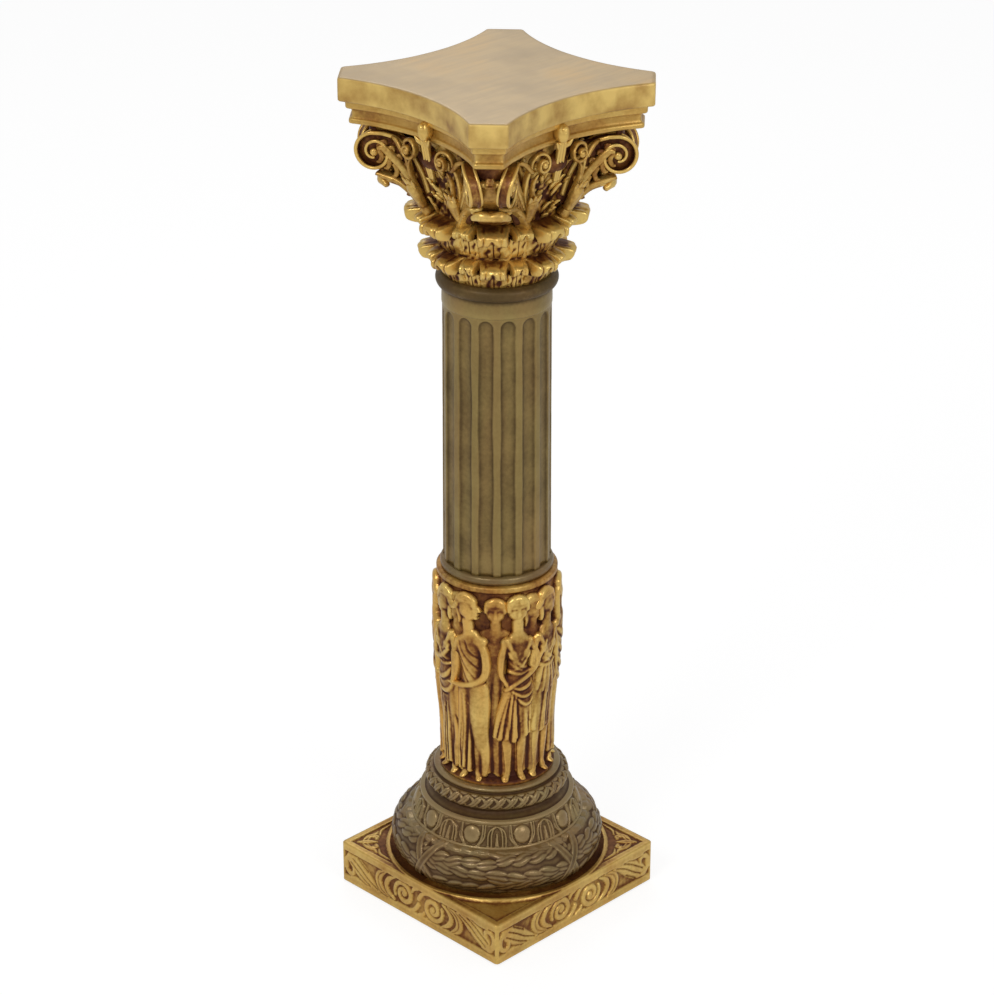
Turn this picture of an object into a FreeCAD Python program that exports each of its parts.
import FreeCAD, Part
import math
import os
from FreeCAD import Vector

# Pedestal column stand: a square plinth, an attic base of three rings, a drum of draped
# figures in relief, a fluted shaft, and a leaf and scroll capital under a hollow-sided top.
# Millimetres, +Z up. The origin is the middle of the footprint, on the floor. The plinth's
# sides lie along X and Y, so its corners, and the capital's, point along the diagonals.
# Hollow castings stand on each other and one rod down the middle ties them together.

os.makedirs("parts", exist_ok=True)

# Heights up the stack, from the floor to the top.
pad_height = 1.5
plinth_height = 48.5
torus_height = 44.0
fascia_height = 30.0
cushion_height = 31.0
drum_height = 236.0
foot_ring_height = 9.0
shaft_height = 284.0
neck_height = 34.0
lower_tier_height = 33.0
upper_tier_height = 40.0
calyx_tier_height = 30.0
scroll_tier_height = 50.0
moulding_height = 24.0
slab_height = 24.0

# Plinth.
plinth_side = 240.0
plinth_wall = 12.0
plinth_edge_round = 3.0
panel_border = 9.0
panel_depth = 2.0
rim_width = 4.5
rim_height = 1.5
spandrel_border = 8.0
spandrel_depth = 1.5
pad_side = 22.0

# Attic base: the big torus, the sloping fascia and the small cushion over it.
casting_bore = 42.0
torus_foot_radius = 101.0
torus_radius = 114.0
torus_top_radius = 97.0
fascia_foot_radius = 92.5
fascia_top_radius = 82.0
fascia_fillet = 4.0
fascia_groove = 1.6
scotia_radius = 73.0
scotia_height = 10.0
cushion_radius = 76.0
cushion_bulge_height = 15.0
cushion_fillet_radius = 68.0

# Drum of figures.
drum_band_radius = 63.5
drum_band_height = 25.0
drum_ledge_radius = 61.5
drum_ledge_height = 5.0
drum_ground_foot_radius = 53.0
drum_ground_radius = 60.0
drum_ground_full_height = 105.0
figure_count = 10
figure_relief = 6.5
figure_half_width = 15.0
figure_sway = 2.6
figure_head_radius = 12.0
figure_crown_gap = 4.0
figure_neck_share = 0.82
# A figure's levels from hem to neck: share of its height, share of its half width.
figure_outline = (
    (0.03, 0.72), (0.08, 0.78), (0.27, 0.84), (0.50, 1.00),
    (0.60, 0.76), (0.70, 0.88), (0.79, 0.98), (0.84, 0.42),
)

# Shaft and neck.
foot_ring_radius = 59.5
shaft_foot_radius = 56.3
shaft_top_radius = 55.2
flute_count = 15
flute_width = 14.0
flute_depth = 3.0
flute_top_margin = 2.0
neck_radius = 56.0
astragal_radius = 62.0
astragal_height = 15.0

# Capital.
capital_twist = -3.0
bell_foot_radius = 54.0
bell_waist_radius = 66.0
bell_flare = 5.0
bell_lip_radius = 84.0
bell_wall = 10.0
lower_leaf_reach = 79.5
lower_leaf_half_width = 17.0
upper_leaf_reach = 93.0
upper_leaf_half_width = 19.5
calyx_leaf_reach = 96.0
calyx_leaf_half_width = 16.0
leaf_body = 4.5
calyx_leaf_body = 9.0
leaf_lip = 15.0
leaf_slope = 4.0
leaf_drip = 1.0
leaf_waist = 0.82
bud_angle = 7.0
bud_setback = 9.0
volute_reach = 142.0
volute_splay = 21.0
volute_thickness = 13.0
volute_radius = 20.5
volute_band = 4.0
volute_hollow = 4.0
volute_eye_radius = 4.0
volute_half_turns = 3
volute_drop = 33.0
volute_arm = 62.0
volute_arm_end = 13.0
volute_rest_gap = 15.0
helix_radius = 12.0
helix_band = 3.0
helix_eye_radius = 2.6
helix_half_turns = 2
helix_thickness = 8.0
helix_spacing = 50.0
helix_setback = 10.0
helix_drop = 15.0
fleuron_radius = 8.0
fleuron_height = 40.0

# Top.
slab_reach = 154.5
slab_cut_width = 37.0
slab_hollow = 22.0
slab_edge_round = 2.0
moulding_neck_inset = 12.5
moulding_lip_inset = 10.0
moulding_lip_height = 6.0
moulding_top_inset = 7.0
moulding_top_height = 8.0

# Tie rod and what it pulls on.
rod_radius = 5.0
rod_clearance = 0.5
rod_end = 6.0
nut_flats = 17.0
nut_height = 8.0
washer_radius = 12.0
washer_height = 2.0
plate_radius = 34.0
plate_height = 4.0
disc_height = 16.0
disc_clearance = 0.3
pocket_clearance = 1.0

# Levels that follow from the heights.
plinth_foot = pad_height
torus_foot = plinth_foot + plinth_height
fascia_foot = torus_foot + torus_height
cushion_foot = fascia_foot + fascia_height
drum_foot = cushion_foot + cushion_height
figure_top = drum_height - figure_crown_gap
foot_ring_foot = drum_foot + drum_height
shaft_foot = foot_ring_foot + foot_ring_height
neck_foot = shaft_foot + shaft_height
bell_foot = neck_foot + neck_height
upper_tier_foot = bell_foot + lower_tier_height
calyx_tier_foot = upper_tier_foot + upper_tier_height
scroll_tier_foot = calyx_tier_foot + calyx_tier_height
bell_top = scroll_tier_foot + scroll_tier_height
slab_foot = bell_top + moulding_height
moulding_neck_height = moulding_height - moulding_lip_height - moulding_top_height

leaf_count = 8
corner_count = 4
corner_angle = 45.0
far = 400.0
closing_gap = 0.001
up = Vector(0, 0, 1)
origin = Vector(0, 0, 0)


def wire(points):
    """A closed wire from a start point and steps: a point is a line, a pair is an arc (via, end)."""
    edges = []
    here = points[0]
    for step in points[1:]:
        if isinstance(step, tuple):
            edges.append(Part.Arc(here, step[0], step[1]).toShape())
            here = step[1]
        else:
            edges.append(Part.LineSegment(here, step).toShape())
            here = step
    if here.distanceToPoint(points[0]) > closing_gap:
        edges.append(Part.LineSegment(here, points[0]).toShape())
    return Part.Wire(edges)


def rz(radius, height):
    """A point of a turned outline."""
    return Vector(radius, 0, height)


def turned(points):
    """A solid turned about the column's axis."""
    return Part.Face(wire(points)).revolve(origin, up, 360)


def prism(points, direction):
    """A straight solid from a flat outline."""
    return Part.Face(wire(points)).extrude(direction)


def cylinder(radius, height, foot):
    """A round bar on the column's axis."""
    return Part.makeCylinder(radius, height, Vector(0, 0, foot))


def block(side, height, foot):
    """A square block on the column's axis."""
    return Part.makeBox(side, side, height, Vector(-side / 2, -side / 2, foot))


def turn(shape, degrees):
    """A copy turned about the column's axis."""
    copy = shape.copy()
    copy.rotate(origin, up, degrees)
    return copy


def around(shape, count, first=0.0):
    """Copies at even angles round the axis."""
    return [turn(shape, first + 360.0 * k / count) for k in range(count)]


def joined(shapes):
    """One solid from shapes that run into each other."""
    return single(shapes[0].multiFuse(shapes[1:]))


def single(shape):
    """The largest solid of a cut, without loose slivers."""
    return max(shape.Solids, key=lambda solid: solid.Volume)


def save(name, shape):
    shape.exportStep("parts/" + name + ".step")


def save_all(name, shapes):
    """Like pieces, numbered from 1."""
    for number, shape in enumerate(shapes, 1):
        save(name + "_" + str(number), shape)


# Plinth and pads.

def side_panel():
    """The sunk panel of one side, cut from the face that looks along +X."""
    width = plinth_side - 2 * panel_border
    height = plinth_height - 2 * panel_border
    corner = Vector(plinth_side / 2 - panel_depth, -width / 2, plinth_foot + panel_border)
    return Part.makeBox(panel_depth, width, height, corner)


def spandrel_sinks():
    """The sunk corner fields between the round rim and the straight borders."""
    field = block(plinth_side - 2 * spandrel_border, spandrel_depth, torus_foot - spandrel_depth)
    return field.cut(cylinder(plinth_side / 2, spandrel_depth, torus_foot - spandrel_depth))


def plinth():
    body = block(plinth_side, plinth_height, plinth_foot)
    upright = [edge for edge in body.Edges if edge.BoundBox.ZLength > plinth_height / 2]
    body = body.makeFillet(plinth_edge_round, upright)
    rim = cylinder(plinth_side / 2, rim_height, torus_foot)
    rim = rim.cut(cylinder(plinth_side / 2 - rim_width, rim_height, torus_foot))
    hollow = block(plinth_side - 2 * plinth_wall, plinth_height - plinth_wall, plinth_foot)
    bore = cylinder(rod_radius + rod_clearance, plinth_height, plinth_foot)
    cuts = around(side_panel(), corner_count) + [spandrel_sinks(), hollow, bore]
    return body.fuse(rim).cut(cuts).removeSplitter()


def felt_pads():
    """Square pads under the plinth's wall, one near each corner."""
    reach = plinth_side / 2 - plinth_wall / 2
    foot = Part.makeBox(pad_side, plinth_wall / 2, pad_height, Vector(-pad_side, -plinth_wall / 4, 0))
    foot.translate(Vector(reach - plinth_wall, -reach, 0))
    return around(foot, corner_count)


# Attic base.

def lower_torus():
    middle = torus_foot + torus_height / 2
    return turned([
        rz(casting_bore, torus_foot),
        rz(torus_foot_radius, torus_foot),
        (rz(torus_radius, middle), rz(torus_top_radius, fascia_foot)),
        rz(casting_bore, fascia_foot),
    ])


def fascia_ring():
    top_line = cushion_foot - fascia_fillet
    groove_line = fascia_foot + fascia_fillet
    return turned([
        rz(casting_bore, fascia_foot),
        rz(fascia_foot_radius, fascia_foot),
        rz(fascia_foot_radius, groove_line),
        rz(fascia_foot_radius - fascia_groove, groove_line),
        rz(fascia_top_radius, top_line),
        rz(fascia_top_radius, cushion_foot),
        rz(casting_bore, cushion_foot),
    ])


def cushion_ring():
    """The scotia hollow, the small leafed cushion and the fillet that carries the drum."""
    hollow_top = cushion_foot + scotia_height
    bulge_top = hollow_top + cushion_bulge_height
    bulge_middle = hollow_top + cushion_bulge_height / 2
    hollow_middle = cushion_foot + scotia_height / 2
    hollow_floor = scotia_radius - scotia_height / 3
    return turned([
        rz(casting_bore, cushion_foot),
        rz(scotia_radius + scotia_height / 3, cushion_foot),
        (rz(hollow_floor, hollow_middle), rz(scotia_radius, hollow_top)),
        (rz(cushion_radius, bulge_middle), rz(scotia_radius, bulge_top)),
        rz(cushion_fillet_radius, bulge_top),
        rz(cushion_fillet_radius, drum_foot),
        rz(casting_bore, drum_foot),
    ])


# Drum of figures.

def drum_core():
    band_foot = foot_ring_foot - drum_band_height
    ledge_top = drum_foot + drum_ledge_height
    return turned([
        rz(casting_bore, drum_foot),
        rz(drum_ledge_radius, drum_foot),
        rz(drum_ledge_radius, ledge_top),
        rz(drum_ground_foot_radius, ledge_top),
        rz(drum_ground_radius, drum_foot + drum_ground_full_height),
        rz(drum_ground_radius, band_foot),
        rz(drum_band_radius, band_foot),
        rz(drum_band_radius, foot_ring_foot),
        rz(casting_bore, foot_ring_foot),
    ])


def ground_radius(height):
    """Radius of the plain ground behind the figures, at a height above the drum's foot."""
    share = (height - drum_ledge_height) / (drum_ground_full_height - drum_ledge_height)
    rise = min(1.0, max(0.0, share))
    return drum_ground_foot_radius + rise * (drum_ground_radius - drum_ground_foot_radius)


def figure_section(share, width, sway):
    """One level of a draped figure: an ellipse half sunk in the ground."""
    height = figure_top * share
    lean = sway * math.sin(math.pi * share)
    middle = Vector(ground_radius(height) - figure_relief * 0.25, lean, drum_foot + height)
    half = figure_half_width * width
    across = middle + Vector(0, half, 0)
    out = middle + Vector(min(figure_relief * (0.5 + 0.75 * width), 0.9 * half), 0, 0)
    return Part.Wire([Part.Ellipse(across, out, middle).toShape()])


def figure(sway):
    """One standing draped figure: hem, knees, hips, waist, chest and shoulders, with a head."""
    sections = [figure_section(share, width, sway) for share, width in figure_outline]
    body = Part.makeLoft(sections, True, True)
    head_height = figure_top - 1.2 * figure_head_radius
    head_radius = drum_ground_radius + figure_relief - figure_head_radius
    head = Part.makeSphere(figure_head_radius)
    head.translate(Vector(head_radius, 0, drum_foot + head_height))
    neck_foot_height = figure_top * figure_neck_share
    neck_place = Vector(head_radius + figure_head_radius / 4, 0, drum_foot + neck_foot_height)
    neck = Part.makeCylinder(figure_head_radius * 0.5, head_height - neck_foot_height, neck_place)
    return joined([body, neck, head])


def figure_drum():
    step = 360.0 / figure_count
    figures = []
    for number in range(figure_count):
        sway = figure_sway * (-1) ** number
        figures.append(turn(figure(sway), -corner_angle + step * (number + 0.5)))
    bore = cylinder(casting_bore, drum_height, drum_foot)
    return single(drum_core().multiFuse(figures).cut(bore))


# Shaft and neck.

def foot_ring():
    middle = foot_ring_foot + foot_ring_height / 2
    edge = foot_ring_radius - foot_ring_height / 4
    return turned([
        rz(casting_bore, foot_ring_foot),
        rz(edge, foot_ring_foot),
        (rz(foot_ring_radius, middle), rz(edge, shaft_foot)),
        rz(casting_bore, shaft_foot),
    ])


def flute():
    """The hollow of one flute: a round-bottomed groove with a round head."""
    half = flute_width / 2
    groove_radius = (half ** 2 + flute_depth ** 2) / (2 * flute_depth)
    lean = math.degrees(math.atan2(shaft_foot_radius - shaft_top_radius, shaft_height))
    place = Vector(shaft_foot_radius - flute_depth + groove_radius, 0, shaft_foot - flute_width)
    straight = shaft_height - flute_top_margin - half + flute_width
    cutter = Part.makeCylinder(groove_radius, straight, place)
    head = Part.makeSphere(groove_radius)
    head.translate(place + Vector(0, 0, straight))
    groove = cutter.fuse(head)
    groove.rotate(place, Vector(0, 1, 0), -lean)
    return groove


def fluted_shaft():
    body = turned([
        rz(casting_bore, shaft_foot),
        rz(shaft_foot_radius, shaft_foot),
        rz(shaft_top_radius, neck_foot),
        rz(casting_bore, neck_foot),
    ])
    half_step = 180.0 / flute_count
    return body.cut(around(flute(), flute_count, -corner_angle + half_step))


def neck_collar():
    """The plain neck band with the round astragal over it."""
    ring_foot = bell_foot - astragal_height
    middle = bell_foot - astragal_height / 2
    return turned([
        rz(casting_bore, neck_foot),
        rz(neck_radius, neck_foot),
        rz(neck_radius, ring_foot),
        (rz(astragal_radius, middle), rz(neck_radius, bell_foot)),
        rz(casting_bore, bell_foot),
    ])


# Capital.

def bell_solid():
    """The plain flared bell, without its bore."""
    return turned([
        rz(0, bell_foot),
        rz(bell_foot_radius, bell_foot),
        rz(bell_waist_radius, calyx_tier_foot),
        rz(bell_waist_radius + bell_flare, scroll_tier_foot),
        rz(bell_lip_radius, bell_top),
        rz(0, bell_top),
    ])


def bell_radius(level):
    """Radius of the bell's straight lower part at a level."""
    share = (level - bell_foot) / (calyx_tier_foot - bell_foot)
    return bell_foot_radius + share * (bell_waist_radius - bell_foot_radius)


def leaf_profile(foot, height, reach, body):
    """The side view of a leaf: a body against the bell, then a lip that hangs over in a round nose."""
    top = foot + height
    nose_foot = top - min(leaf_lip, 0.45 * height)
    shelf = top - leaf_slope
    root_out = bell_radius(foot) + body
    body_out = bell_radius(nose_foot) + body
    overhang = reach - body_out
    arch = rz(body_out + 0.3 * overhang, nose_foot + 0.12 * overhang)
    drip = rz(body_out + 0.6 * overhang, nose_foot - leaf_drip)
    nose = rz(reach, (nose_foot + shelf) / 2)
    return [
        rz(casting_bore, foot),
        rz(root_out, foot),
        rz(body_out, nose_foot),
        (arch, drip),
        (nose, rz(body_out + 0.55 * overhang, shelf)),
        rz(casting_bore, top),
    ]


def leaf_front(foot, height, half_width):
    """The leaf's outline seen from outside, scalloped down both sides."""
    top = foot + height
    low = foot + 0.3 * height
    mid = foot + 0.6 * height
    waist = half_width * leaf_waist
    crown = 0.9 * half_width
    scallops = [
        (0.95 * half_width, (foot + low) / 2, waist, low),
        (half_width, (low + mid) / 2, waist, mid),
        (half_width, mid + 0.6 * (top - mid), crown, top),
    ]
    points = [Vector(0, -waist, foot), Vector(0, waist, foot)]
    for bulge, bulge_level, end, end_level in scallops:
        points.append((Vector(0, bulge, bulge_level), Vector(0, end, end_level)))
    points.append(Vector(0, -crown, top))
    ends = [(waist, foot), (waist, low), (waist, mid)]
    for scallop, end in zip(reversed(scallops), reversed(ends)):
        points.append((Vector(0, -scallop[0], scallop[1]), Vector(0, -end[0], end[1])))
    return prism(points, Vector(far, 0, 0))


def leaf_plan(foot, height, reach, half_width):
    """The leaf's outline from above: a lip of three lobes."""
    notch = 0.38 * half_width
    lobe = 0.72 * half_width
    lobe_reach = reach - 0.13 * half_width
    dip = reach - 0.16 * half_width
    shoulder = reach - 0.55 * half_width
    return prism([
        Vector(0, -half_width, foot),
        Vector(shoulder, -half_width, foot),
        (Vector(lobe_reach, -lobe, foot), Vector(dip, -notch, foot)),
        (Vector(reach, 0, foot), Vector(dip, notch, foot)),
        (Vector(lobe_reach, lobe, foot), Vector(shoulder, half_width, foot)),
        Vector(0, half_width, foot),
    ], Vector(0, 0, height))


def leaf(foot, height, reach, half_width, body):
    """A leaf with scalloped sides and a lip of three lobes. It points along +X."""
    front = leaf_front(foot, height, half_width)
    plan = leaf_plan(foot, height, reach, half_width)
    return turned(leaf_profile(foot, height, reach, body)).common(front).common(plan)


def leaf_tier(foot, height, reach, half_width, body, count, bell):
    """Leaves at even angles, from the corner's direction on, each seated on the bell."""
    master = single(leaf(foot, height, reach, half_width, body).cut(bell))
    return around(master, count, corner_angle)


def buds(foot, height, reach, leaves):
    """The small leaves of the bell's own casting, each between two of the applied ones."""
    outline = Part.Face(wire(leaf_profile(foot, height, reach - bud_setback, leaf_body)))
    bud = turn(outline.revolve(origin, up, bud_angle), corner_angle + 180.0 / leaf_count - bud_angle / 2)
    return around(single(bud.cut(leaves[:2])), leaf_count)


def capital_bell(bell, lower_leaves, upper_leaves):
    small = buds(bell_foot, lower_tier_height, lower_leaf_reach, lower_leaves)
    small = small + buds(upper_tier_foot, upper_tier_height, upper_leaf_reach, upper_leaves)
    bore = cylinder(casting_bore, bell_top - bell_foot - bell_wall, bell_foot)
    rod_hole = cylinder(rod_radius + rod_clearance, bell_wall, bell_top - bell_wall)
    return single(bell.multiFuse(small).cut([bore, rod_hole]))


def half_ring(middle, outer, band, above):
    """Half of a flat ring in the XZ plane, on the upper or the lower side of its middle."""
    rise = 1 if above else -1
    inner = outer - band

    def at(x, z):
        return middle + Vector(x, 0, rise * z)

    edges = [
        Part.Arc(at(outer, 0), at(0, outer), at(-outer, 0)).toShape(),
        Part.LineSegment(at(-outer, 0), at(-inner, 0)).toShape(),
        Part.Arc(at(-inner, 0), at(0, inner), at(inner, 0)).toShape(),
        Part.LineSegment(at(inner, 0), at(outer, 0)).toShape(),
    ]
    return Part.Face(Part.Wire(edges))


def scroll(middle, radius, band, eye, depth, halves):
    """A coiled band of half rings, each smaller than the last, that ends in a round eye. It starts
    on the right, goes over the top and coils inwards, in the XZ plane, depth deep along +Y."""
    step = (radius - eye - band) / halves
    pieces = []
    outer = radius
    heart = middle
    side = 1
    for number in range(halves):
        pieces.append(half_ring(heart, outer, band, number % 2 == 0).extrude(Vector(0, depth, 0)))
        side = -side
        end = heart + Vector(side * outer, 0, 0)
        outer = outer - step
        heart = end - Vector(side * outer, 0, 0)
    eye_middle = end - Vector(side * (eye + band / 4), 0, 0)
    pieces.append(Part.makeCylinder(eye, depth, eye_middle, Vector(0, 1, 0)))
    return pieces


def volute_plate():
    """One corner scroll with its arm, lying in the XZ plane, outermost at X = 0."""
    middle_height = bell_top - volute_drop
    middle = Vector(-volute_radius, 0, middle_height)
    crown = middle_height + volute_radius
    arch = middle_height - volute_radius - volute_band
    knee = -volute_radius * 1.9
    arm = prism([
        Vector(-volute_radius, 0, crown),
        (Vector(knee, 0, crown - volute_band), Vector(-volute_arm, 0, scroll_tier_foot)),
        Vector(-volute_arm, 0, scroll_tier_foot - volute_arm_end),
        (Vector(-volute_radius * 2.4, 0, arch - volute_band / 4), Vector(knee, 0, arch)),
        Vector(-volute_radius, 0, arch - volute_band / 2),
    ], Vector(0, volute_thickness, 0))
    across = Vector(0, 1, 0)
    body = arm.fuse(Part.makeCylinder(volute_radius, volute_thickness, middle, across))
    floor = middle + across * (volute_thickness - volute_hollow)
    hollow = Part.makeCylinder(volute_radius - volute_band / 2, volute_hollow, floor, across)
    coil = scroll(floor, volute_radius, volute_band, volute_eye_radius, volute_hollow, volute_half_turns)
    return joined([body.cut(hollow)] + coil)


def corner_volute(carriers):
    """The two scrolls that meet under one corner of the top. They point along +X."""
    plate = volute_plate()
    plate.translate(Vector(volute_reach, 0, 0))
    hinge = Vector(volute_reach, 0, 0)
    plate.rotate(hinge, up, -volute_splay)
    plate.translate(Vector(0, (volute_rest_gap - volute_thickness) / 2, 0))
    other = plate.mirror(origin, Vector(0, 1, 0))
    web_length = volute_reach - volute_band / 2 - casting_bore
    web = Part.makeBox(web_length, volute_rest_gap, scroll_tier_height)
    web.translate(Vector(casting_bore, -volute_rest_gap / 2, scroll_tier_foot))
    pair = joined([plate, other, web])
    return single(pair.cut(carriers))


def save_capital(bell, moulding, slab):
    """The capital's castings, each cut where its neighbours pass, then turned by the twist."""
    lower_leaves = leaf_tier(
        bell_foot, lower_tier_height, lower_leaf_reach,
        lower_leaf_half_width, leaf_body, leaf_count, bell)
    upper_leaves = leaf_tier(
        upper_tier_foot, upper_tier_height, upper_leaf_reach,
        upper_leaf_half_width, leaf_body, leaf_count, bell)
    calyx_leaves = leaf_tier(
        calyx_tier_foot, calyx_tier_height, calyx_leaf_reach,
        calyx_leaf_half_width, calyx_leaf_body, corner_count, bell)
    calyx = turn(calyx_leaves[0], -corner_angle)
    volutes = around(corner_volute([bell, calyx]), corner_count, corner_angle)
    pair = helix_pair()
    helices = around(single(pair.cut([bell] + around(volutes[0], corner_count))), corner_count)
    bud = single(fleuron().cut([bell, moulding, slab, helices[0]]))
    fleurons = around(bud, corner_count)
    pieces = {
        "lower_leaf": lower_leaves,
        "upper_leaf": upper_leaves,
        "calyx_leaf": calyx_leaves,
        "corner_volute": volutes,
        "helix_pair": helices,
        "fleuron": fleurons,
    }
    for name, shapes in pieces.items():
        save_all(name, [turn(shape, capital_twist) for shape in shapes])
    save("capital_bell", turn(capital_bell(bell, lower_leaves, upper_leaves), capital_twist))


def face_distance():
    """How far the middle of a hollow side of the top stands from the axis."""
    chord = (slab_reach + slab_cut_width / 2) / math.sqrt(2)
    return chord - slab_hollow


def helix(side):
    """One small scroll on its stem and sheath, in the XZ plane, right (1) or left (-1) of the middle."""
    middle = Vector(helix_spacing / 2, 0, bell_top - helix_drop)
    foot = calyx_tier_foot
    outer = helix_spacing / 2 + helix_radius
    inner = outer - helix_band
    root = helix_spacing / 2 + helix_band
    tuck = helix_band / 4
    stem = prism([
        Vector(outer - tuck, 0, middle.z + tuck),
        (Vector(outer - tuck / 2, 0, scroll_tier_foot), Vector(root + helix_band / 2, 0, foot)),
        Vector(root - helix_band / 2, 0, foot),
        (Vector(inner - tuck, 0, scroll_tier_foot), Vector(inner + tuck, 0, middle.z + tuck)),
    ], Vector(0, helix_thickness, 0))
    sheath_place = Vector(root, helix_thickness / 2, foot)
    sheath = Part.makeCone(helix_band, helix_band * 1.7, calyx_tier_height * 0.8, sheath_place)
    back = Part.makeCylinder(helix_radius * 0.7, helix_setback * 2, middle, Vector(0, 1, 0))
    coil = scroll(middle, helix_radius, helix_band, helix_eye_radius, helix_thickness, helix_half_turns)
    shape = joined([stem, sheath, back] + coil)
    return shape if side > 0 else shape.mirror(origin, Vector(1, 0, 0))


def helix_pair():
    """The two small scrolls in the middle of one side. They look along +X."""
    bridge_place = Vector(-helix_spacing / 2, helix_thickness / 2, bell_top - helix_drop - helix_band / 2)
    bridge = Part.makeBox(helix_spacing, helix_setback, helix_band, bridge_place)
    pair = joined([helix(1), helix(-1), bridge])
    pair.rotate(origin, up, 90)
    pair.translate(Vector(face_distance() - helix_setback, 0, 0))
    return pair


def fleuron():
    """The bud in the middle of one side, over the edge of the top. It looks along +X."""
    reach = face_distance() - moulding_top_inset
    stem_foot = slab_foot - fleuron_height
    bud = Part.makeSphere(fleuron_radius)
    bud.translate(Vector(reach, 0, slab_foot - fleuron_radius))
    stem = Part.makeCone(fleuron_radius * 0.35, fleuron_radius * 0.8, fleuron_height - fleuron_radius)
    stem.translate(Vector(reach - fleuron_radius * 0.5, 0, stem_foot))
    return joined([bud, stem])


# Top.

def top_outline(inset, height):
    """The plan of the top: four cut corners joined by hollow sides, drawn in by an inset."""
    reach = slab_reach - inset
    half = slab_cut_width / 2 - inset * math.tan(math.radians(corner_angle / 2))
    middle = face_distance() - inset
    points = []
    for number in range(corner_count):
        angle = math.radians(corner_angle + 90 * number)
        out = Vector(math.cos(angle), math.sin(angle), 0)
        along = Vector(-math.sin(angle), math.cos(angle), 0)
        side = math.radians(90 + 90 * number)
        first = out * reach - along * half + up * height
        last = out * reach + along * half + up * height
        hollow = Vector(middle * math.cos(side), middle * math.sin(side), height)
        if points:
            points[-1] = (points[-1], first)
        else:
            points.append(first)
        points.append(last)
        points.append(hollow)
    points[-1] = (points[-1], points[0])
    return wire(points)


def top_layer(inset, foot, height):
    """One straight-sided layer of the top."""
    return Part.makeLoft([top_outline(inset, foot), top_outline(inset, foot + height)], True, True)


def abacus_moulding():
    """The stepped moulding under the slab: a lip, a drawn-in neck and a top band."""
    neck_line = bell_top + moulding_lip_height
    top_line = slab_foot - moulding_top_height
    layers = [
        top_layer(moulding_lip_inset, bell_top, moulding_lip_height),
        top_layer(moulding_neck_inset, neck_line, moulding_neck_height),
        top_layer(moulding_top_inset, top_line, moulding_top_height),
    ]
    pocket_height = plate_height + washer_height + nut_height + rod_end
    pocket = cylinder(plate_radius + pocket_clearance, pocket_height, bell_top)
    return joined(layers).cut(pocket)


def abacus_slab():
    body = top_layer(0, slab_foot, slab_height)
    edges = [edge for edge in body.Edges if edge.BoundBox.ZLength < slab_height / 2]
    return body.makeFillet(slab_edge_round, edges)


# Tie rod.

def washer(radius, height, foot):
    return cylinder(radius, height, foot).cut(cylinder(rod_radius + rod_clearance, height, foot))


def nut(foot):
    corner = nut_flats / math.sqrt(3)
    points = []
    for number in range(6):
        angle = math.radians(60 * number)
        points.append(Vector(corner * math.cos(angle), corner * math.sin(angle), foot))
    return prism(points, Vector(0, 0, nut_height)).cut(cylinder(rod_radius, nut_height, foot))


def save_hardware():
    """The rod with a plate, washer and nut at each end, and the discs that line up the castings."""
    ceiling = torus_foot - plinth_wall
    rod_foot = ceiling - plate_height - washer_height - nut_height - rod_end
    rod_top = bell_top + plate_height + washer_height + nut_height + rod_end
    save("tie_rod", cylinder(rod_radius, rod_top - rod_foot, rod_foot))
    save("lower_plate", washer(plate_radius, plate_height, ceiling - plate_height))
    save("lower_washer", washer(washer_radius, washer_height, ceiling - plate_height - washer_height))
    save("lower_nut", nut(ceiling - plate_height - washer_height - nut_height))
    save("upper_plate", washer(plate_radius, plate_height, bell_top))
    save("upper_washer", washer(washer_radius, washer_height, bell_top + plate_height))
    save("upper_nut", nut(bell_top + plate_height + washer_height))
    disc_radius = casting_bore - disc_clearance
    seams = (drum_foot, foot_ring_foot, neck_foot)
    discs = [washer(disc_radius, disc_height, seam - disc_height / 2) for seam in seams]
    save_all("centring_disc", discs)


save("plinth", plinth())
save_all("felt_pad", felt_pads())
save("lower_torus", lower_torus())
save("fascia_ring", fascia_ring())
save("cushion_ring", cushion_ring())
save("figure_drum", figure_drum())
save("shaft_foot_ring", foot_ring())
save("fluted_shaft", fluted_shaft())
save("neck_collar", neck_collar())
top_moulding = abacus_moulding()
top_slab = abacus_slab()
save_capital(bell_solid(), top_moulding, top_slab)
save("abacus_moulding", turn(top_moulding, capital_twist))
save("abacus_slab", turn(top_slab, capital_twist))
save_hardware()
